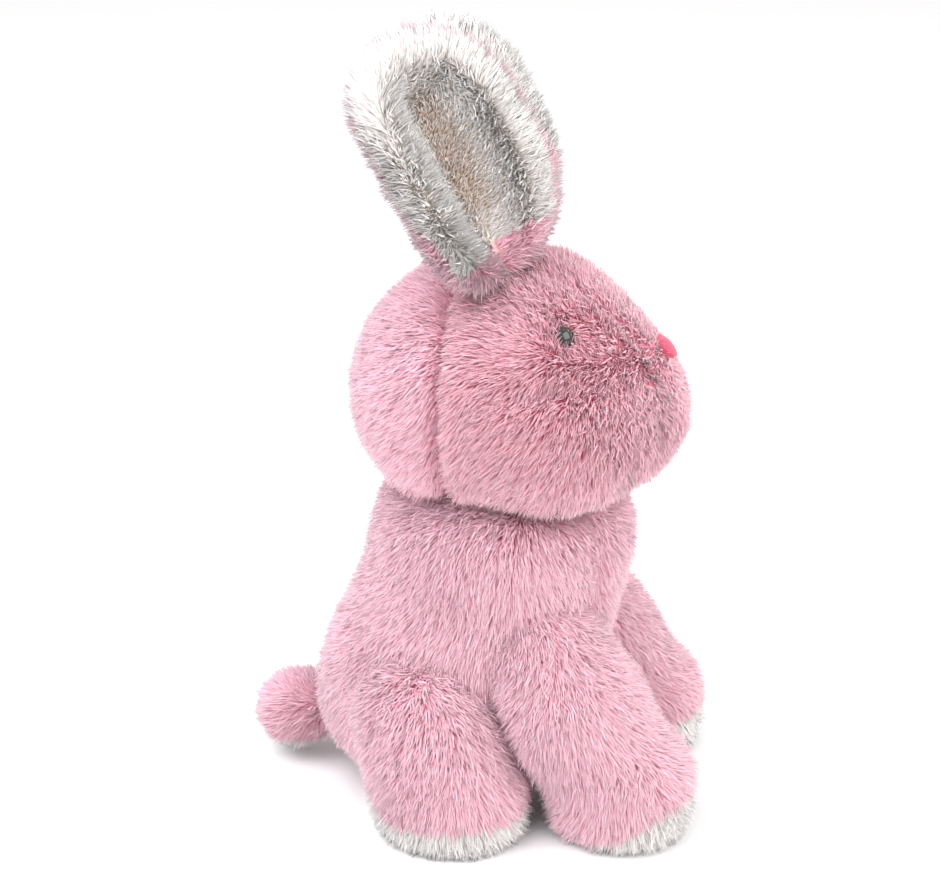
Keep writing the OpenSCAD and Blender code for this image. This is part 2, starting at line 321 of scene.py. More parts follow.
front_leg_balls = [
    ball((-26, -28, 72), (23, 25, 29), (-20, 0, 0)),
    ball((-31, -45, 50), (24, 26, 32), (-35, 0, 0)),
    ball((-33, -36, 46), (21, 21, 24)),
    ball((-33, -61, 25), (24, 29, 23)),
    ball((-33, -60, 8), (24, 29, 14)),
]
rear_leg_balls = [
    ball((-34, 15, 45), (26, 28, 28)),
    ball((-41, 5, 32), (26, 26, 29), (-15, 0, 0)),
    ball((-43, 3, 20), (25, 30, 20)),
    ball((-44, 2, 5), (26, 30, 14)),
]
front_leg_middle = (-31, -50, 42)
rear_leg_middle = (-40, 5, 34)
tail_balls = [
    ball((0, 75, 20), (17, 17.5, 18)),
    ball((0, 60, 22), (11, 12, 11)),
]
tail_middle = (0, 74, 20)
print("masses:", len(head_balls), "head,", len(body_balls), "body,",
      len(front_leg_balls), "front leg,", len(rear_leg_balls), "rear leg")

# %% [markdown]
# Stuffing pushes the cloth out between its seams, and the seams hold it in. We
# let the computer find that shape: an even net of small faces replaces the
# grid, the net becomes cloth with air pressure inside, its seam points are held,
# and after twenty frames the result is kept. No point may move further than a
# few millimetres, so the toy keeps its size.

# %% Stuffing a cover
swell = 1.2 * MM
most_swell = 3.0 * MM
pressure = 4.0
last_frame = 20


def read_vectors(items, field):
    """A vector field of all items of a mesh as one array."""
    flat = np.empty(len(items) * 3, np.float32)
    items.foreach_get(field, flat)
    return flat.reshape(-1, 3).astype(float)


def mesh_points(mesh):
    """All vertex places of a mesh."""
    return read_vectors(mesh.vertices, "co")


def vertex_normals(mesh):
    """All vertex normals of a mesh."""
    return read_vectors(mesh.vertex_normals, "vector")


def set_points(mesh, points):
    """Moves all vertices of a mesh to these places."""
    mesh.vertices.foreach_set("co", np.ascontiguousarray(points, np.float32).ravel())
    mesh.update()


def keep_result(piece):
    """Replaces a piece's mesh by what its modifiers make of it, and drops them."""
    graph = bpy.context.evaluated_depsgraph_get()
    mesh = bpy.data.meshes.new_from_object(piece.evaluated_get(graph))
    piece.modifiers.clear()
    old, piece.data = piece.data, mesh
    bpy.data.meshes.remove(old)


def stuff(piece, seam_closeness, voxel=5.0 * MM):
    """Turns a closed surface into stuffed cloth: an even net, cloth pressure with
    the seams held, each point's move capped, and one subdivision."""
    remesh = piece.modifiers.new("net", "REMESH")
    remesh.mode, remesh.voxel_size = "VOXEL", voxel
    keep_result(piece)
    before = mesh_points(piece.data)
    held = piece.vertex_groups.new(name="seams")
    held.add(np.nonzero(seam_closeness(before) > 0.5)[0].tolist(), 1.0, "REPLACE")
    cloth = piece.modifiers.new("cloth", "CLOTH")
    cloth.settings.vertex_group_mass = "seams"
    cloth.settings.use_pressure = True
    cloth.settings.uniform_pressure_force = pressure
    cloth.settings.effector_weights.gravity = 0.0
    cloth.settings.quality = 5
    cloth.point_cache.frame_start, cloth.point_cache.frame_end = 1, last_frame
    for number in range(1, last_frame + 1):
        bpy.context.scene.frame_set(number)
    keep_result(piece)
    piece.vertex_groups.clear()
    bpy.context.scene.frame_set(1)
    move = mesh_points(piece.data) - before
    far = np.linalg.norm(move, axis=1, keepdims=True)
    move *= np.minimum(1.0, most_swell / np.maximum(far, 1e-9))
    set_points(piece.data, before + move)
    subdivide(piece)


def subdivide(piece):
    """One level of subdivision, applied."""
    finer = piece.modifiers.new("finer", "SUBSURF")
    finer.levels = finer.render_levels = render_levels
    keep_result(piece)


def pull_seams(piece, seam_closeness, depth_of_seam):
    """Sinks the cloth along its normals by the seam's depth, times how close each
    point is to the seam."""
    points, normals = mesh_points(piece.data), vertex_normals(piece.data)
    set_points(piece.data, points - normals * (seam_closeness(points) * depth_of_seam)[:, None])


def dress(skin, backing, body, stands_for=None):
    """Gives a finished skin its backing cloth and body, and hides the frame's node
    that it stands for, if any."""
    skin.data.materials.append(backing)
    skin.data.shade_smooth()
    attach(skin, body)
    if stands_for:
        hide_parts(stands_for)


print("stuffing ready, quick =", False)

# %% [markdown]
# Now the pile. Hair objects would render well, but a toy that is shared as a
# plain mesh loses them, so every tuft here is a real closed solid. Most are thin
# three-sided spikes of four faces. One in eighteen is a longer stem that bends
# once before its tip, which breaks the surface up. All tufts of a panel are
# computed at once as arrays.

# %% Strands of pile
three = np.arange(3) * 2.0 * math.pi / 3.0
root_depth = 1.2 * MM


def triangles_of(mesh):
    """Corner places and vertex normals of all triangles of a mesh."""
    mesh.calc_loop_triangles()
    corners = np.empty(len(mesh.loop_triangles) * 3, np.int32)
    mesh.loop_triangles.foreach_get("vertices", corners)
    corners = corners.reshape(-1, 3)
    return mesh_points(mesh)[corners], vertex_normals(mesh)[corners]


def scatter(corners, normals, per_mm2, rng):
    """Points spread evenly over triangles: a triangle is picked with a chance in
    proportion to its area, and the point in it is (1-r)A + r(1-s)B + rsC with r
    the square root of a random number."""
    area = 0.5 * np.linalg.norm(
        np.cross(corners[:, 1] - corners[:, 0], corners[:, 2] - corners[:, 0]), axis=1)
    count = int(area.sum() / MM ** 2 * per_mm2)
    pick = rng.choice(len(area), count, p=area / area.sum())
    r, s = np.sqrt(rng.random((count, 1))), rng.random((count, 1))
    shares = np.stack([1.0 - r, r * (1.0 - s), r * s], axis=1)
    return (corners[pick] * shares).sum(1), unit((normals[pick] * shares).sum(1))


def rings(centres, axis, side, radius):
    """Three points round each centre, in the plane across the axis."""
    other = np.cross(axis, side)
    turn = (np.cos(three)[None, :, None] * side[:, None, :]
            + np.sin(three)[None, :, None] * other[:, None, :])
    return centres[:, None, :] + turn * radius[:, None, None]


def tufts(roots, normals, comb, length, lean, width, tone, rng, bent):
    """Builds tufts at the roots. The stem leaves the cloth between its normal and
    the combed direction by the lean angle, and a bent tuft leans more in its
    outer half. Returns places, faces, two texture numbers and shading normals:
    the texture runs from 0 at the root to 1 at the tip, beside the tuft's tone,
    and the shading normal is the cloth's own, tilted a little for each tuft."""
    count = len(roots)
    across = comb - normals * (comb * normals).sum(1, keepdims=True)
    across = unit(across + 1e-6)
    lean = lean + rng.normal(0.0, 0.17, count)
    stem = unit(normals * np.cos(lean)[:, None] + across * np.sin(lean)[:, None])
    side = unit(np.cross(stem, normals + rng.normal(0.0, 0.3, (count, 3))))
    start = roots - normals * root_depth
    if bent:
        outer_lean = lean + 0.45 + rng.normal(0.0, 0.18, count)
        outer = unit(normals * np.cos(outer_lean)[:, None] + across * np.sin(outer_lean)[:, None])
        bend = roots + stem * (length * 0.5)[:, None]
        tip = bend + outer * (length * 0.5)[:, None]
        places = np.concatenate([
            rings(start, stem, side, width * 0.5),
            rings(bend, unit(stem + outer), side, width * 0.42), tip[:, None, :]], axis=1)
        along = np.array([0, 0, 0, 0.5, 0.5, 0.5, 1.0])
        beside = np.array([0, 0.5, 1.0, 0, 0.5, 1.0, 0.5])
        faces = [(0, 2, 1)]
        for k in range(3):
            j = (k + 1) % 3
            faces += [(k, j, 3 + j), (k, 3 + j, 3 + k), (3 + k, 3 + j, 6)]
    else:
        tip = roots + stem * length[:, None]
        places = np.concatenate([rings(start, stem, side, width * 0.5), tip[:, None, :]], axis=1)
        along = np.array([0, 0, 0, 1.0])
        beside = np.array([0, 0.5, 1.0, 0.5])
        faces = [(0, 2, 1), (0, 1, 3), (1, 2, 3), (2, 0, 3)]
    size = places.shape[1]
    texture = np.stack([np.clip(tone, 0.01, 0.98)[:, None] + beside[None, :] * 0.012,
                        np.broadcast_to(along, (count, size))], axis=-1)
    tilted = unit(normals + rng.normal(0.0, 0.15, (count, 3)) - across * 0.15)
    around = unit(places - start[:, None, :] - stem[:, None, :] * (
        ((places - start[:, None, :]) * stem[:, None, :]).sum(-1, keepdims=True)))
    shading = unit(tilted[:, None, :] + 0.15 * around)
    index = (np.array(faces)[None, :, :] + (np.arange(count) * size)[:, None, None]).reshape(-1, 3)
    return places.reshape(-1, 3), index, texture.reshape(-1, 2), shading.reshape(-1, 3)


def together(parts):
    """Joins several sets of tufts into one."""
    bases = np.cumsum([0] + [len(places) for places, *_ in parts])
    shifted = [(places, faces + base, texture, shading)
               for (places, faces, texture, shading), base in zip(parts, bases)]
    return [np.concatenate(column) for column in zip(*shifted)]


def pile_piece(name, places, faces, texture, shading, material):
    """Makes one mesh object of all the tufts of a panel."""
    mesh = bpy.data.meshes.new(name)
    mesh.vertices.add(len(places))
    mesh.loops.add(faces.size)
    mesh.polygons.add(len(faces))
    mesh.vertices.foreach_set("co", places.astype(np.float32).ravel())
    mesh.loops.foreach_set("vertex_index", faces.astype(np.int32).ravel())
    mesh.polygons.foreach_set("loop_start", np.arange(0, faces.size, 3, dtype=np.int32))
    mesh.update(calc_edges=True)
    mesh.shade_smooth()
    layer = mesh.uv_layers.new(name="OFBake")
    layer.uv.foreach_set("vector", texture[faces.ravel()].astype(np.float32).ravel())
    normal = mesh.attributes.new("custom_normal", "FLOAT_VECTOR", "POINT")
    normal.data.foreach_set("vector", shading.astype(np.float32).ravel())
    mesh.materials.append(material)
    return add_object(name, mesh)


print("tufts ready")

# %% [markdown]
# Pile has no pattern along its own cloth: what changes is the shade of each
# tuft, and the shade from its root to its tip. Roots sit in the dark between
# their neighbours and tips catch the light, so the colour is painted with shade,
# deeper at the root, and with a highlight, pale at the tip. One node group turns
# the two texture numbers of a tuft into that colour, and each kind of pile gives
# it its own four colours.

# %% Shade of a tuft, and the pile materials


def linear(colour):
    """A colour as seen on a screen, as the linear numbers that shaders use."""
    c = np.array(colour, float)
    return (*np.where(c <= 0.04045, c / 12.92, ((c + 0.055) / 1.055) ** 2.4), 1.0)


def socket(group, name, in_out, kind, default=None):
    """Adds a socket to a node group's face, with its resting value."""
    made = group.interface.new_socket(name, in_out=in_out, socket_type=kind)
    if default is not None:
        made.default_value = default


shade_group = bpy.data.node_groups.new("tuft_shade", "ShaderNodeTree")
for socket_name in ("Root", "Deep", "Main", "Tip"):
    socket(shade_group, socket_name, "INPUT", "NodeSocketColor", (0.8, 0.8, 0.8, 1.0))
socket(shade_group, "Tone and length", "INPUT", "NodeSocketVector")
socket(shade_group, "Colour", "OUTPUT", "NodeSocketColor")
nodes, links = shade_group.nodes, shade_group.links
group_in, group_out = nodes.new("NodeGroupInput"), nodes.new("NodeGroupOutput")
split = nodes.new("ShaderNodeSeparateXYZ")
links.new(group_in.outputs["Tone and length"], split.inputs["Vector"])


def mix_colour(tree, factor, first, second, low=0.0, high=1.0):
    """Mixes two colours as the factor goes from low to high. Each colour is a
    socket to read or a plain value."""
    span = tree.nodes.new("ShaderNodeMapRange")
    span.interpolation_type = "SMOOTHSTEP"
    span.inputs["From Min"].default_value, span.inputs["From Max"].default_value = low, high
    tree.links.new(factor, span.inputs["Value"])
    mix = tree.nodes.new("ShaderNodeMix")
    mix.data_type = "RGBA"
    tree.links.new(span.outputs["Result"], mix.inputs["Factor"])
    for end, colour in ((mix.inputs[6], first), (mix.inputs[7], second)):
        if isinstance(colour, tuple):
            end.default_value = colour
        else:
            tree.links.new(colour, end)
    return mix.outputs[2]


# Tone mixes the main colour towards the deep one: random tone for each tuft, plus painted shade where
# the tone rules raise it in seams and hollows.
body_of_tuft = mix_colour(shade_group, split.outputs["X"],
                          group_in.outputs["Main"], group_in.outputs["Deep"])
# Painted highlight: paler towards the tip. Painted shade: deeper at the root.
tipped = mix_colour(shade_group, split.outputs["Y"], body_of_tuft,
                    group_in.outputs["Tip"], 0.35, 1.15)
rooted = mix_colour(shade_group, split.outputs["Y"], group_in.outputs["Root"], tipped, -0.1, 0.45)
links.new(rooted, group_out.inputs["Colour"])


def pile_material(name, root, deep, main, tip):
    """Pile of one dye: four colours into the shared shade group. The main colour is the dye; the root
    colour is painted shade, the tip colour a painted highlight, and the deep colour serves random tone
    and painted shade.
    """
    material, tree, shader = new_material(name, {
        "Roughness": 0.85, "Specular IOR Level": 0.2, "Sheen Weight": 0.25, "Sheen Roughness": 0.5})
    shade = tree.nodes.new("ShaderNodeGroup")
    shade.node_tree = shade_group
    for socket_name, colour in (("Root", root), ("Deep", deep), ("Main", main), ("Tip", tip)):
        shade.inputs[socket_name].default_value = linear(colour)
    strip = tree.nodes.new("ShaderNodeUVMap")
    strip.uv_map = "OFBake"
    tree.links.new(strip.outputs["UV"], shade.inputs["Tone and length"])
    tree.links.new(shade.outputs["Colour"], shader.inputs["Base Color"])
    return material


# Main colours are the dyes. Root colours are painted shade, tip colours painted highlight, and deep
# colours carry random tone and painted shade.
pink_pile = pile_material("pink_pile", (0.99, 0.56, 0.67), (0.97, 0.58, 0.68),
                          (0.99, 0.745, 0.81), (1.0, 0.86, 0.905))
# The face pile is a darker, greyer copy of the pink pile: painted shade over the face.
face_pile = pile_material("face_pile", (0.96, 0.54, 0.62), (0.93, 0.54, 0.62),
                          (0.96, 0.71, 0.76), (0.97, 0.825, 0.86))
# The cream pile's brownish deep colour is painted shade, used in the channel of the ear lining.
cream_pile = pile_material("cream_pile", (0.84, 0.77, 0.71), (0.66, 0.54, 0.45),
                           (0.955, 0.94, 0.925), (0.99, 0.985, 0.98))
print("pile materials:", pink_pile.name, face_pile.name, cream_pile.name)

# %% [markdown]
# Under the pile is the knitted backing. It shows only in the seams, but there it
# must look like cloth, so it gets a fine grain from a noise texture as its bump,
# and a slow change of shade from a second one.

# %% Backing cloth
knit_group = bpy.data.node_groups.new("knit_backing", "ShaderNodeTree")
socket(knit_group, "Colour", "INPUT", "NodeSocketColor", (0.8, 0.4, 0.5, 1.0))
socket(knit_group, "Grain per metre", "INPUT", "NodeSocketFloat", 900.0)
socket(knit_group, "Colour", "OUTPUT", "NodeSocketColor")
socket(knit_group, "Height", "OUTPUT", "NodeSocketFloat")
nodes, links = knit_group.nodes, knit_group.links
group_in, group_out = nodes.new("NodeGroupInput"), nodes.new("NodeGroupOutput")
place = nodes.new("ShaderNodeTexCoord")
grain = nodes.new("ShaderNodeTexNoise")
links.new(place.outputs["Object"], grain.inputs["Vector"])
links.new(group_in.outputs["Grain per metre"], grain.inputs["Scale"])
slow = nodes.new("ShaderNodeTexNoise")
slow.inputs["Scale"].default_value = 60.0
links.new(place.outputs["Object"], slow.inputs["Vector"])
dark = nodes.new("ShaderNodeMix")
dark.data_type, dark.blend_type = "RGBA", "MULTIPLY"
dark.inputs["Factor"].default_value = 0.25
links.new(group_in.outputs["Colour"], dark.inputs["A"])
links.new(slow.outputs["Fac"], dark.inputs["B"])
links.new(dark.outputs["Result"], group_out.inputs["Colour"])
links.new(grain.outputs["Fac"], group_out.inputs["Height"])


def add_bump(tree, shader, height, distance, strength=1.0):
    """Tilts a shader's normal by a height."""
    bump = tree.nodes.new("ShaderNodeBump")
    bump.inputs["Strength"].default_value = strength
    bump.inputs["Distance"].default_value = distance
    tree.links.new(height, bump.inputs["Height"])
    tree.links.new(bump.outputs["Normal"], shader.inputs["Normal"])


def backing_material(name, colour):
    """Knitted backing of one dye."""
    material, tree, shader = new_material(name, {"Roughness": 0.9})
    knit = tree.nodes.new("ShaderNodeGroup")
    knit.node_tree = knit_group
    knit.inputs["Colour"].default_value = linear(colour)
    tree.links.new(knit.outputs["Colour"], shader.inputs["Base Color"])
    add_bump(tree, shader, knit.outputs["Height"], 0.4 * MM, 0.4)
    return material


pink_backing = backing_material("pink_backing", (0.93, 0.55, 0.64))
cream_backing = backing_material("cream_backing", (0.90, 0.84, 0.79))
print("backing:", pink_backing.name, cream_backing.name)

# %% [markdown]
# A bare count of tufts is not fur yet. Real pile sticks together in small locks,
# lies along the way it was brushed, swirls a little, and is shorter where a seam
# pulls it in. All tufts of one stuffed piece are laid out together, so that the
# flow goes on across the seams, and are then dealt out to the panels.

# %% Locks, and covering a stuffed piece
lock_size = 5.0 * MM
floor_gap = 0.3 * MM
bent_per_mm2 = 0.2
straight_per_mm2 = 3.4
tuft_width = 0.92 * MM
usual_lean = 0.66


def locks(points, seed):
    """Finds the nearest of the scattered lock centres, one in each lattice cell:
    returns the way to it in units of the cell, and a random number for the lock."""
    q = points / lock_size
    base = np.floor(q).astype(np.int64)
    nearest = np.full(len(points), 1e9)
    toward, luck = np.zeros_like(points), np.zeros(len(points))
    for corner in range(27):
        cell = base + np.array([corner % 3 - 1, corner // 3 % 3 - 1, corner // 9 - 1])
        shift = np.stack([lattice_value(cell, seed + k) for k in range(3)], axis=-1)
        away = cell + 0.1 + 0.8 * shift - q
        far = (away ** 2).sum(1)
        nearer = far < nearest
        nearest = np.where(nearer, far, nearest)
        toward = np.where(nearer[:, None], away, toward)
        luck = np.where(nearer, lattice_value(cell, seed + 7), luck)
    return toward, luck


def even(value):
    """A rule that gives every point the same value."""
    return lambda points, up=None: np.full(len(points), value)


brushed = even(usual_lean)
everywhere = even(True)
no_seams = even(0.0)


def cover(skin, body, panels, comb_of, length_of, tone_of, shown, seed, lean_of=brushed):
    """Grows pile on a skin. comb_of, length_of and tone_of give each root its
    brushed direction, length and shade, and shown says which roots are not inside
    another piece. Each panel is (name, CAD node, slot, material, test), and takes
    the roots that pass its test and no earlier one, and lean_of gives the angle at
    which the pile stands off the cloth."""
    rng = np.random.default_rng(seed)
    corners, normals = triangles_of(skin.data)
    made = {name: [] for name, *_ in panels}
    for bent, per_mm2 in ((True, bent_per_mm2), (False, straight_per_mm2)):
        roots, up = scatter(corners, normals, per_mm2, rng)
        seen = shown(roots, up)
        roots, up = roots[seen], up[seen]
        toward, luck = locks(roots, seed)
        comb = (unit(comb_of(roots, up)) + drift3(roots, 16.0 * MM, seed) * 0.45
                + toward * 0.35 + rng.normal(0.0, 0.16, roots.shape))
        length = length_of(roots, up) * (0.9 + 0.15 * luck)
        length = length * (rng.uniform(0.9, 1.1, len(roots)) if bent
                           else rng.uniform(0.65, 1.0, len(roots)))
        tone = (tone_of(roots, up) + 0.16 * drift(roots, 24.0 * MM, seed + 20)
                + 0.15 * (luck - 0.5) + rng.normal(0.0, 0.08, len(roots)))
        width = tuft_width * rng.uniform(0.75, 1.2, len(roots))
        lean = lean_of(roots, up) + 0.1 * (1.0 - luck)
        free = np.ones(len(roots), bool)
        for name, _, _, _, test in panels:
            mine = free & test(roots, up)
            free &= ~mine
            if mine.any():
                made[name].append(tufts(
                    roots[mine], up[mine], comb[mine], length[mine],
                    lean[mine], width[mine], tone[mine], rng, bent))
    for name, node, slot, material, _ in panels:
        places, faces, texture, shading = together(made[name])
        places[:, 2] = np.maximum(places[:, 2], floor_gap)
        piece = pile_piece(name, places, faces, texture, shading, material)
        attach(piece, body)
        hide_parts(node)
        print(name, "has", len(faces), "triangles")


def inside(points, balls, margin):
    """True where a point lies deeper than the nap and a margin in other masses."""
    return depth(points, balls) < -(nap_height + margin)


def near(value, width):
    """A bell of that width: exp(-(v/w)^2)."""
    return np.exp(-(value / width) ** 2)


print("covering ready")

# %% [markdown]
# The head comes first. Its cover has a back half and a face, which meet in a
# seam that runs from behind the ears down past the cheeks; a strip of fabric
# runs over the forehead and another under the chin. Thread pulls the cloth in at
# each eye, and the cheeks stand out over a crease.

# %% Head: stuffed skin
head_seam_y = 3.0 * MM
strip_half = 13.0 * MM
mouth_z = 158.0 * MM
head_centre = np.array([0.0, -8.0, 168.0]) * MM
muzzle_centre = np.array([0.0, -47.0, 159.0]) * MM


def box_middle(node):
    """Middle of the box of one of the frame's nodes."""
    return sum(np.array(corner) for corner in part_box(node)) / 2.0


eye_out = unit(box_middle("eye_left") - head_centre)
eye_at = head_centre + eye_out * 50.0 * MM
nose_at = muzzle_centre + unit(box_middle("nose") - muzzle_centre) * 34.0 * MM
skin_sink = nap_height + swell


def flip_left(points):
    """The points with their X made positive, for what is the same on both sides."""
    return np.abs(points * [1, 0, 0]) + points * [0, 1, 1]


def ring_seam_y(z):
    """The ring seam's place at a height: it waves as 2 sin((z - 120) / 28) mm."""
    return head_seam_y + 2.0 * MM * np.sin((z - 120.0 * MM) / (28.0 * MM))


def head_seams(points):
    """1 on the head's seams: the ring between face and back, and the two lines
    beside the forehead strip."""
    x, y, z = flip_left(points).T
    ring = near(y - ring_seam_y(z), 3.0 * MM)
    ring = ring * smoothstep(z, 118.0 * MM, 132.0 * MM)
    lines = near(x - strip_half, 2.5 * MM) * smoothstep(-y, 0.0, 10.0 * MM)
    lines *= smoothstep(z, mouth_z, mouth_z + 12.0 * MM)
    return np.maximum(ring, 0.5 * lines)


def eye_hollow(points):
    """1 in the hollow around each eye, which runs on towards the nose."""
    gap = flip_left(points) - eye_at - np.array([-2.0, -5.0, 0.0]) * MM
    return near(np.linalg.norm(gap * [1.0, 0.7, 1.2], axis=1), 11.0 * MM)


def eye_ridge(points):
    """1 on the soft ridge behind and below each eye."""
    gap = flip_left(points) - eye_at - np.array([2.0, 9.0, -4.0]) * MM
    return near(np.linalg.norm(gap * [1.0, 1.1, 0.8], axis=1), 8.0 * MM)


def cheek_crease(points):
    """1 in the crease over the cheek."""
    x, y, z = flip_left(points).T
    level = 178.0 * MM - 0.15 * (y + 40.0 * MM)
    return (near(z - level, 3.5 * MM) * smoothstep(x, 24.0 * MM, 34.0 * MM)
            * near(y + 34.0 * MM, 18.0 * MM))


head_skin = star_surface("head_cloth", head_middle, head_balls, skin_sink)
stuff(head_skin, head_seams)
pull_seams(head_skin, head_seams, 3.5 * MM)
pull_seams(head_skin, eye_hollow, 4.5 * MM)
pull_seams(head_skin, eye_ridge, -2.5 * MM)
pull_seams(head_skin, cheek_crease, 1.8 * MM)
dress(head_skin, pink_backing, "head", "head_stuffing")
print("head cloth:", len(head_skin.data.polygons), "faces")

# %% [markdown]
# On a rabbit's face the pile runs away from the nose, and over the cheeks it
# turns down. It is short and flat around the nose and long on the back of the
# head. Its colour is painted with shade, deeper in every seam and hollow and over
# the face, and with light, paler around the muzzle.

# %% Head: pile


def head_comb(points, up):
    """Away from the nose, and down behind it."""
    away = unit(points - nose_at - np.array([0.0, -6.0, 2.0]) * MM)
    down = np.array([0.0, 0.1, -1.0])
    return away + down * (0.35 + 0.5 * smoothstep(points[:, 1], -30.0 * MM, 20.0 * MM))[:, None]


def head_length(points, up):
    """Short at the nose, the eyes and the seams, long on the back of the head."""
    far = smoothstep(np.linalg.norm(points - nose_at, axis=1), 6.0 * MM, 45.0 * MM)
    length = (4.0 + 4.6 * far) * MM
    length *= 1.0 - 0.4 * head_seams(points)
    length *= 1.0 - 0.25 * eye_hollow(points)
    return length * (1.0 - 0.2 * cheek_crease(points))


def head_tone_painted_shade_and_light(points, up):
    """Painted shade, deeper in seams and hollows and on the face, and painted light, paler around the
    muzzle.
    """
    face = smoothstep(-points[:, 1], -6.0 * MM, 4.0 * MM)
    muzzle = near(np.linalg.norm(points - nose_at, axis=1), 26.0 * MM)
    return (0.30 + 0.12 * face + 0.45 * head_seams(points) + 0.35 * eye_hollow(points)
            - 0.35 * muzzle)


def head_shown(points, up):
    """True where no neck, eye or nose covers the cloth."""
    gap = np.linalg.norm((flip_left(points) - eye_at) * [1.0, 1.4, 0.9], axis=1)
    under_nose = np.linalg.norm(points - nose_at, axis=1) < 3.2 * MM
    return ~(inside(points, body_balls, 4.0 * MM) | (gap < 5.0 * MM) | under_nose)


def side_of(sign):
    """A test for the left (+1) or the right (-1) half."""
    return lambda points, up: points[:, 0] * sign >= 0.0


def both(first, second):
    """A test that holds where two tests hold."""
    return lambda points, up: first(points, up) & second(points, up)


def is_back(points, up):
    """Behind the ring seam."""
    return points[:, 1] > ring_seam_y(points[:, 2])


def is_strip(points, up):
    """On the strip over the forehead, down to the mouth."""
    return (np.abs(points[:, 0]) < strip_half) & (points[:, 2] >= mouth_z)


def is_chin(points, up):
    """On the strip under the chin."""
    return (np.abs(points[:, 0]) < strip_half) & (points[:, 2] < mouth_z)


head_panels = [
    ("pile_head_back_left", "head_back_left", "pink_pile", pink_pile, both(is_back, side_of(1))),
    ("pile_head_back_right", "head_back_right", "pink_pile", pink_pile, is_back),
    ("pile_forehead", "forehead_gusset", "face_pile", face_pile, is_strip),
    ("pile_chin", "chin_panel", "face_pile", face_pile, is_chin),
    ("pile_face_left", "face_panel_left", "face_pile", face_pile, side_of(1)),
    ("pile_face_right", "face_panel_right", "face_pile", face_pile, side_of(-1)),
]


def head_lean(points, up):
    """Pile lies flatter around the nose, so that no roots show there."""
    return usual_lean + 0.4 * near(np.linalg.norm(points - nose_at, axis=1), 28.0 * MM)


cover(head_skin, "head", head_panels, head_comb, head_length, head_tone_painted_shade_and_light, head_shown, 11, head_lean)

# %% [markdown]
# The body is one plump bag. Its sides are two large panels that meet in a seam
# down the back, with a belly panel between them in front. At the top it runs up
# into the head, so the neck looks short and thick.

# %% Body: stuffed skin and pile
leg_hides = 4.0 * MM
belly_half = 22.0 * MM


def body_seams(points):
    """1 on the seam down the back and on the two seams beside the belly."""
    x, y, z = flip_left(points).T
    back = near(x, 2.5 * MM) * smoothstep(y, 0.0, 15.0 * MM)
    front = near(x - belly_half, 3.0 * MM) * smoothstep(-y, 5.0 * MM, 20.0 * MM)
    return np.maximum(0.6 * back, front)


def body_comb(points, up):
    """Down, and a little outwards from the middle line."""
    out = points * [1.0, 0.0, 0.0] / (40.0 * MM)
    return np.array([0.0, 0.12, -1.0]) + out * 0.25


def body_length(points, up):
    """Long all over, and short in the seams."""
    return (9.0 - 3.0 * body_seams(points)) * MM


def body_tone_painted_shade(points, up):
    """Painted shade, deeper in the seams; paler low down."""
    return 0.16 + 0.4 * body_seams(points) - 0.1 * smoothstep(points[:, 2], 90.0 * MM, 40.0 * MM)


def body_shown(points, up):
    """True where neither head, tail nor a leg covers the cloth."""
    mirror_point = flip_left(points) * [-1, 1, 1]
    hidden = inside(points, head_balls, 4.0 * MM) | inside(points, tail_balls, 2.0 * MM)
    for leg_balls in (front_leg_balls, rear_leg_balls):
        hidden |= inside(mirror_point, leg_balls, leg_hides)
    return ~hidden


def is_belly(points, up):
    """Between the two front seams."""
    return (np.abs(points[:, 0]) < belly_half) & (points[:, 1] < 4.0 * MM)


def is_seat(points, up):
    """On the round panel that the rabbit sits on."""
    reach = np.linalg.norm(points[:, :2] - np.array([0.0, 12.0]) * MM, axis=1)
    return (reach < 26.0 * MM) & (points[:, 2] < 16.0 * MM)


body_skin = star_surface("body_cloth", body_middle, body_balls, skin_sink, rows=60)
stuff(body_skin, body_seams)
pull_seams(body_skin, body_seams, 2.5 * MM)
dress(body_skin, pink_backing, "torso", "body_stuffing")

body_panels = [
    ("pile_seat", "seat_panel", "pink_pile", pink_pile, is_seat),
    ("pile_belly", "belly_panel", "pink_pile", pink_pile, is_belly),
    ("pile_body_left", "body_panel_left", "pink_pile", pink_pile, side_of(1)),
    ("pile_body_right", "body_panel_right", "pink_pile", pink_pile, side_of(-1)),
]
cover(body_skin, "torso", body_panels, body_comb, body_length, body_tone_painted_shade, body_shown, 31)

# %% [markdown]
# Each leg is a short sausage that ends in a broad foot with a flat pale sole.
# Left and right legs are mirror images in shape, but their fur is grown from
# different random numbers, because no two sides of a real toy match.

# %% Legs


def sole_line(kind, points):
    """Height of the seam between sleeve and sole: level on a rear foot, and
    rising towards the toe on a front foot."""
    if kind == "rear":
        return np.full(len(points), 15.0 * MM)
    return 5.0 * MM + 17.0 * MM * smoothstep(-points[:, 1], 48.0 * MM, 84.0 * MM)


def flat_foot(piece):
    """Presses the underside of a foot flat, a little above the floor."""
    points = mesh_points(piece.data)
    points[:, 2] = np.maximum(points[:, 2], 1.5 * MM)
    set_points(piece.data, points)


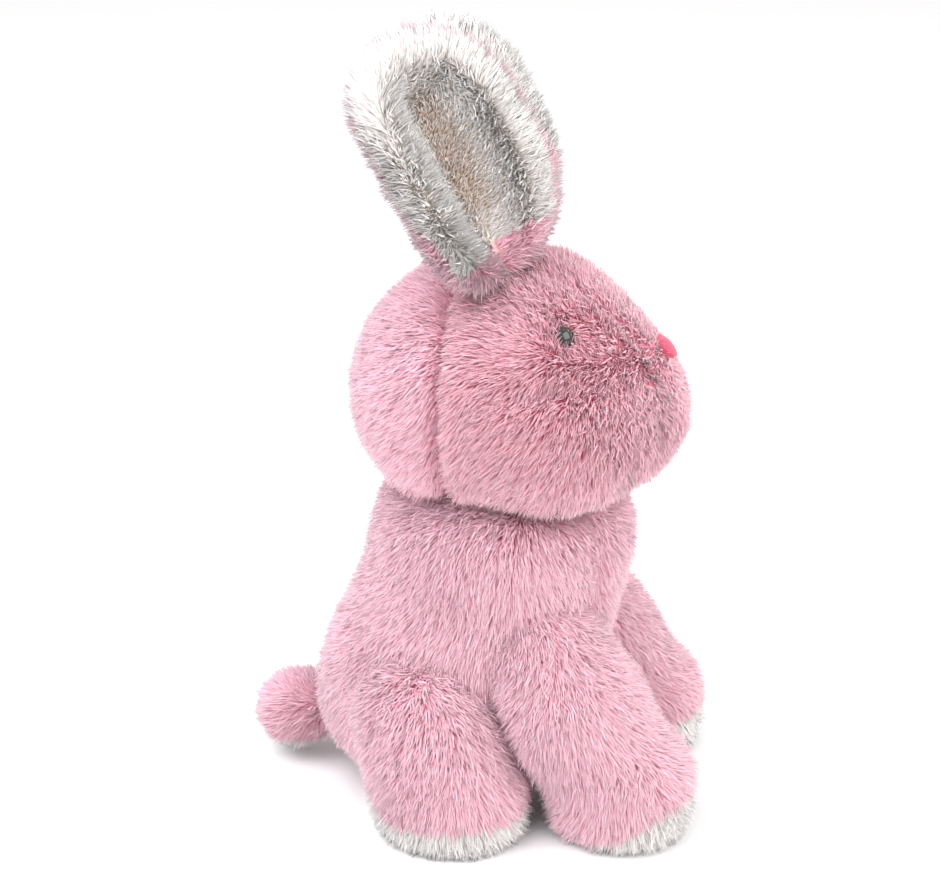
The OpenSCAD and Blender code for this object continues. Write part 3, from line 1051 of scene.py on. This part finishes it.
def make_leg(kind, left, balls, middle, joint_at, seed):
    """One leg: stuffed skin, pink sleeve pile and pale sole pile."""
    hand = "left" if left else "right"
    sign = 1.0 if left else -1.0
    shape = mirrored(balls) if left else balls
    place = np.array(middle) * [-sign, 1, 1]
    toe = np.array(balls[-1][0]) * [-sign, 1, 1]
    hip = np.array(joint_at) * [sign, 1, 1] * MM
    skin = star_surface(f"{kind}_leg_cloth_{hand}", place, shape, skin_sink, 40, 56)
    stuff(skin, no_seams)
    flat_foot(skin)
    dress(skin, pink_backing, f"{kind}_leg_{hand}",
          f"{kind}_leg_stuffing_{hand}")
    along = unit(toe - hip)

    def seam(points):
        """1 on the seam between sleeve and sole."""
        return near(points[:, 2] - sole_line(kind, points), 2.0 * MM)

    def comb(points, up):
        """Down the leg, and outwards over the foot."""
        out = unit((points - toe) * [1, 1, 0])
        low = smoothstep(points[:, 2], 34.0 * MM, 12.0 * MM)[:, None]
        return along * (1.0 - 0.8 * low) + out * 0.8 * low + np.array([0, 0, -0.5])

    def length(points, up):
        """A little shorter near the floor."""
        return (9.2 - 0.8 * smoothstep(points[:, 2], 14.0 * MM, 5.0 * MM)) * MM

    def tone(points, up):
        """Painted shade, deeper in the seam."""
        return 0.14 + 0.2 * seam(points)

    def shown(points, up):
        """True off the body, and not on the flat underside."""
        return ~inside(points, body_balls, 4.0 * MM) & (up[:, 2] > -0.93)

    def is_sole(points, up):
        """Below the seam between sleeve and sole."""
        return points[:, 2] < sole_line(kind, points)

    panels = [
        (f"pile_{kind}_sole_{hand}", f"{kind}_sole_{hand}", "cream_pile", cream_pile, is_sole),
        (f"pile_{kind}_leg_{hand}", f"{kind}_leg_sleeve_{hand}", "pink_pile", pink_pile, everywhere),
    ]

    def lean(points, up):
        """Flatter where the pile would point straight back up the leg."""
        return usual_lean + 0.3 * smoothstep(up @ -along, 0.0, 0.9)

    cover(skin, f"{kind}_leg_{hand}", panels, comb, length, tone, shown, seed, lean)


for index, left in enumerate((True, False)):
    make_leg("front", left, front_leg_balls, front_leg_middle, (27, -28, 70), 51 + index)
    make_leg("rear", left, rear_leg_balls, rear_leg_middle, (36, 12, 46), 61 + index)

# %% [markdown]
# The tail is a round puff with longer pile that points away from the body. Its
# top is pink and its underside is pale.

# %% Tail


def tail_comb(points, up):
    """Back, down and away from the tail's root."""
    out = unit(points - np.array([0.0, 66.0, 20.0]) * MM)
    return np.array([0.0, 0.8, -0.25]) + out * 0.6


tail_skin = star_surface("tail_cloth", tail_middle, tail_balls, skin_sink, 32, 40)
stuff(tail_skin, no_seams, 4.0 * MM)
dress(tail_skin, pink_backing, "tail", "tail_stuffing")
tail_panels = [
    ("pile_tail_top", "tail_top", "pink_pile", pink_pile,
     lambda points, up: points[:, 2] > 13.0 * MM - 0.15 * (points[:, 1] - 70.0 * MM)),
    ("pile_tail_underside", "tail_underside", "cream_pile", cream_pile, everywhere),
]
cover(tail_skin, "tail", tail_panels, tail_comb, even(9.0 * MM), even(0.2),
      lambda points, up: ~inside(points, body_balls, 3.0 * MM), 71)

# %% [markdown]
# An ear is a pink back and a pale lining, sewn together at the edge and cupped
# like a spoon. The edge is thick, because the lining's pile stands up around it.
# We carry a flat oval, the cross-section of the stuffed sheet, along the ear:
# its width follows the ear's outline and it is bent round the cup's axis.

# %% Ears
ear_hinge = {joint["child"]: np.array(joint["pos_m"]) for joint in frame["joints"]
             if joint["child"].startswith("ear")}
ear_length = 77.0 * MM
ear_cup_r = 25.0 * MM
ear_axis = -18.0 * MM
ear_widest = 28.0 * MM
ear_lean, ear_splay, ear_yaw = -28.0, 5.0, 45.0
ear_foot = -8.0 * MM


def ear_half_width(w):
    """Half of the ear's width along the cup at the height w: round like a spoon
    at its foot, straight in the middle and round again at its tip, where the
    round ends are widest * sqrt(1 - t^2)."""
    below = np.clip((30.0 * MM - w) / (38.0 * MM), 0.0, 1.0)
    above = np.clip((w - 46.0 * MM) / (31.0 * MM), 0.0, 1.0)
    return ear_widest * np.sqrt((1.0 - below ** 2) * (1.0 - above ** 2))


def ear_point(a, n, w):
    """Place in the ear of arc length a across the cup, height n off its middle
    sheet and height w: (r sin f, axis + r cos f, w), r = cup + n, f = a / cup."""
    turn = a / ear_cup_r
    r = ear_cup_r + n
    return np.stack([r * np.sin(turn), ear_axis + r * np.cos(turn), w], axis=-1)


def make_ear(left, seed):
    """One ear: a closed cupped sheet, then its pale and pink pile."""
    hand = "left" if left else "right"
    body = f"ear_{hand}"
    sign = 1.0 if left else -1.0
    rows, columns = 46, 64
    rise = (1.0 - np.cos(np.linspace(0.0, math.pi, rows + 2)[1:-1])) / 2.0
    w = (ear_foot + rise * (ear_length - ear_foot))[:, None]
    around = np.linspace(0.0, 2.0 * math.pi, columns, endpoint=False)[None, :]
    half = ear_half_width(w)
    close = np.sqrt(np.clip((ear_length - w) / (9.0 * MM), 0, 1))
    close = close * np.sqrt(np.clip((w - ear_foot) / (6.0 * MM), 0, 1))
    ca, sa = np.cos(around), np.sin(around)
    a = half * np.sign(ca) * np.abs(ca) ** 0.8
    to_rim = np.maximum(np.abs(ca) ** 1.6, smoothstep(w, ear_length - 24.0 * MM, ear_length - 6.0 * MM))
    n = (2.2 * MM + 4.4 * MM * to_rim) * close * np.sign(sa) * np.abs(sa) ** 0.6
    local = ear_point(a, n, w + 0.0 * a).reshape(-1, 3)
    ends = np.array([[0.0, ear_axis + ear_cup_r, ear_foot], [0.0, ear_axis + ear_cup_r, ear_length]])
    turn = turned(ear_lean, 0.0, 0.0) @ turned(0.0, ear_splay, 0.0) @ turned(0.0, 0.0, ear_yaw)
    flip = np.array([sign, 1.0, 1.0])
    placed = (np.concatenate([local, ends]) @ turn.T) * flip + ear_hinge[body]
    skin = closed_grid(f"ear_cloth_{hand}", placed, rows, columns, True)
    mesh_tool = bmesh.new()
    mesh_tool.from_mesh(skin.data)
    bmesh.ops.recalc_face_normals(mesh_tool, faces=mesh_tool.faces)
    mesh_tool.to_mesh(skin.data)
    mesh_tool.free()
    subdivide(skin)
    dress(skin, cream_backing, body)

    def local_of(points):
        """The ear's own coordinates (arc, height off the sheet, along) of points."""
        own = ((points - ear_hinge[body]) * flip) @ turn
        from_axis = own[:, 1] - ear_axis
        r = np.hypot(own[:, 0], from_axis)
        return np.arctan2(own[:, 0], from_axis) * ear_cup_r, r - ear_cup_r, own[:, 2]

    def rim(points):
        """1 on the rolled edge."""
        arc, off, along = local_of(points)
        edge = ear_half_width(along)
        across = smoothstep(np.abs(arc), edge - 15.0 * MM, edge - 7.0 * MM)
        return np.maximum(across, smoothstep(along, ear_length - 20.0 * MM, ear_length - 8.0 * MM))

    def comb(points, up):
        """Away from the ear's middle line and towards its tip."""
        arc, off, along = local_of(points)
        centre = np.stack([np.zeros_like(arc), np.full_like(arc, ear_axis + ear_cup_r),
                           np.minimum(along, 46.0 * MM) * 0.9], -1)
        centre = (centre @ turn.T) * flip + ear_hinge[body]
        tipward = (turn @ np.array([0.0, 0.0, 1.0])) * flip
        return unit(points - centre) * 0.9 + tipward * 0.7

    def length(points, up):
        """Short in the channel of the lining."""
        arc, off, along = local_of(points)
        lining = smoothstep(-off, -1.0 * MM, 2.0 * MM)
        deep = lining * (1.0 - rim(points))
        return (8.5 - 4.0 * deep) * MM

    def tone(points, up):
        """Painted shade, deep in the channel of the lining."""
        arc, off, along = local_of(points)
        lining = smoothstep(-off, -1.0 * MM, 2.0 * MM)
        deep = lining * near(arc + 2.0 * MM, 7.5 * MM) * near(along - 38.0 * MM, 27.0 * MM)
        return 0.05 + 1.2 * deep

    def shown(points, up):
        """True off the head."""
        return ~inside(points, head_balls, 2.0 * MM)

    def is_lining(points, up):
        """In the cup and, higher up, over its rim."""
        arc, off, along = local_of(points)
        over_rim = smoothstep(np.abs(arc), ear_half_width(along) - 5.0 * MM, ear_half_width(along) - MM)
        over_rim = over_rim * smoothstep(along, 12.0 * MM, 34.0 * MM)
        return (off < (1.5 + 3.6 * over_rim) * MM) & (along > 3.0 * MM)

    panels = [
        (f"pile_ear_lining_{hand}", f"ear_inner_{hand}", "cream_pile", cream_pile, is_lining),
        (f"pile_ear_back_{hand}", f"ear_outer_{hand}", "pink_pile", pink_pile, everywhere),
    ]
    cover(skin, body, panels, comb, length, tone, shown, seed,
          lambda points, up: 0.75 - 0.4 * rim(points))


make_ear(True, 81)
make_ear(False, 91)

# %% [markdown]
# The eyes are glossy dark domes on a stem that a washer locks behind the cloth,
# and the nose is a flocked button. Their CAD solids already have the right
# shape, so they keep it and get their finish here.

# %% Eyes, nose and hidden hardware


def plain_finish(name, colour, mottle, mottle_size, levels, bump=None):
    """A dyed finish whose shade drifts a little over the surface, and so does its
    height where a bump distance is given."""
    material, tree, shader = new_material(name, levels)
    place = tree.nodes.new("ShaderNodeTexCoord")
    noise = tree.nodes.new("ShaderNodeTexNoise")
    noise.inputs["Scale"].default_value = 1.0 / mottle_size
    tree.links.new(place.outputs["Object"], noise.inputs["Vector"])
    mixed = mix_colour(tree, noise.outputs["Fac"], linear(np.array(colour) * (1.0 - mottle)),
                       linear(colour), 0.3, 0.7)
    tree.links.new(mixed, shader.inputs["Base Color"])
    if bump:
        add_bump(tree, shader, noise.outputs["Fac"], bump)
    return material


eye_gloss = plain_finish("eye_gloss", (0.10, 0.07, 0.08), 0.5, 4.0 * MM, {
    "Roughness": 0.06, "Coat Weight": 1.0, "Coat Roughness": 0.03})
nose_flock = plain_finish("nose_flock", (0.80, 0.27, 0.40), 0.18, 0.6 * MM, {
    "Roughness": 0.8, "Sheen Weight": 0.4}, 0.3 * MM)
washer_plastic = plain_finish(
    "washer_plastic", (0.86, 0.86, 0.87), 0.06, 3.0 * MM, {"Roughness": 0.4})
fibre_fill = plain_finish("fibre_fill", (0.96, 0.96, 0.97), 0.1, 2.0 * MM, {"Roughness": 0.95})

finishes = {"eye_left": eye_gloss, "eye_right": eye_gloss, "nose": nose_flock,
            "nose_washer": washer_plastic, "eye_washer_left": washer_plastic,
            "eye_washer_right": washer_plastic, "neck_stuffing": fibre_fill}
for node_name, material in finishes.items():
    mesh = frame["nodes"][node_name].data
    mesh.materials.clear()
    mesh.materials.append(material)
print("finished", ", ".join(finishes))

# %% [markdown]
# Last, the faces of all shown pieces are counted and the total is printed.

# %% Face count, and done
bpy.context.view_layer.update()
total = sum(len(piece.data.polygons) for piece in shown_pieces() if piece.type == "MESH")
print("faces in all:", total)
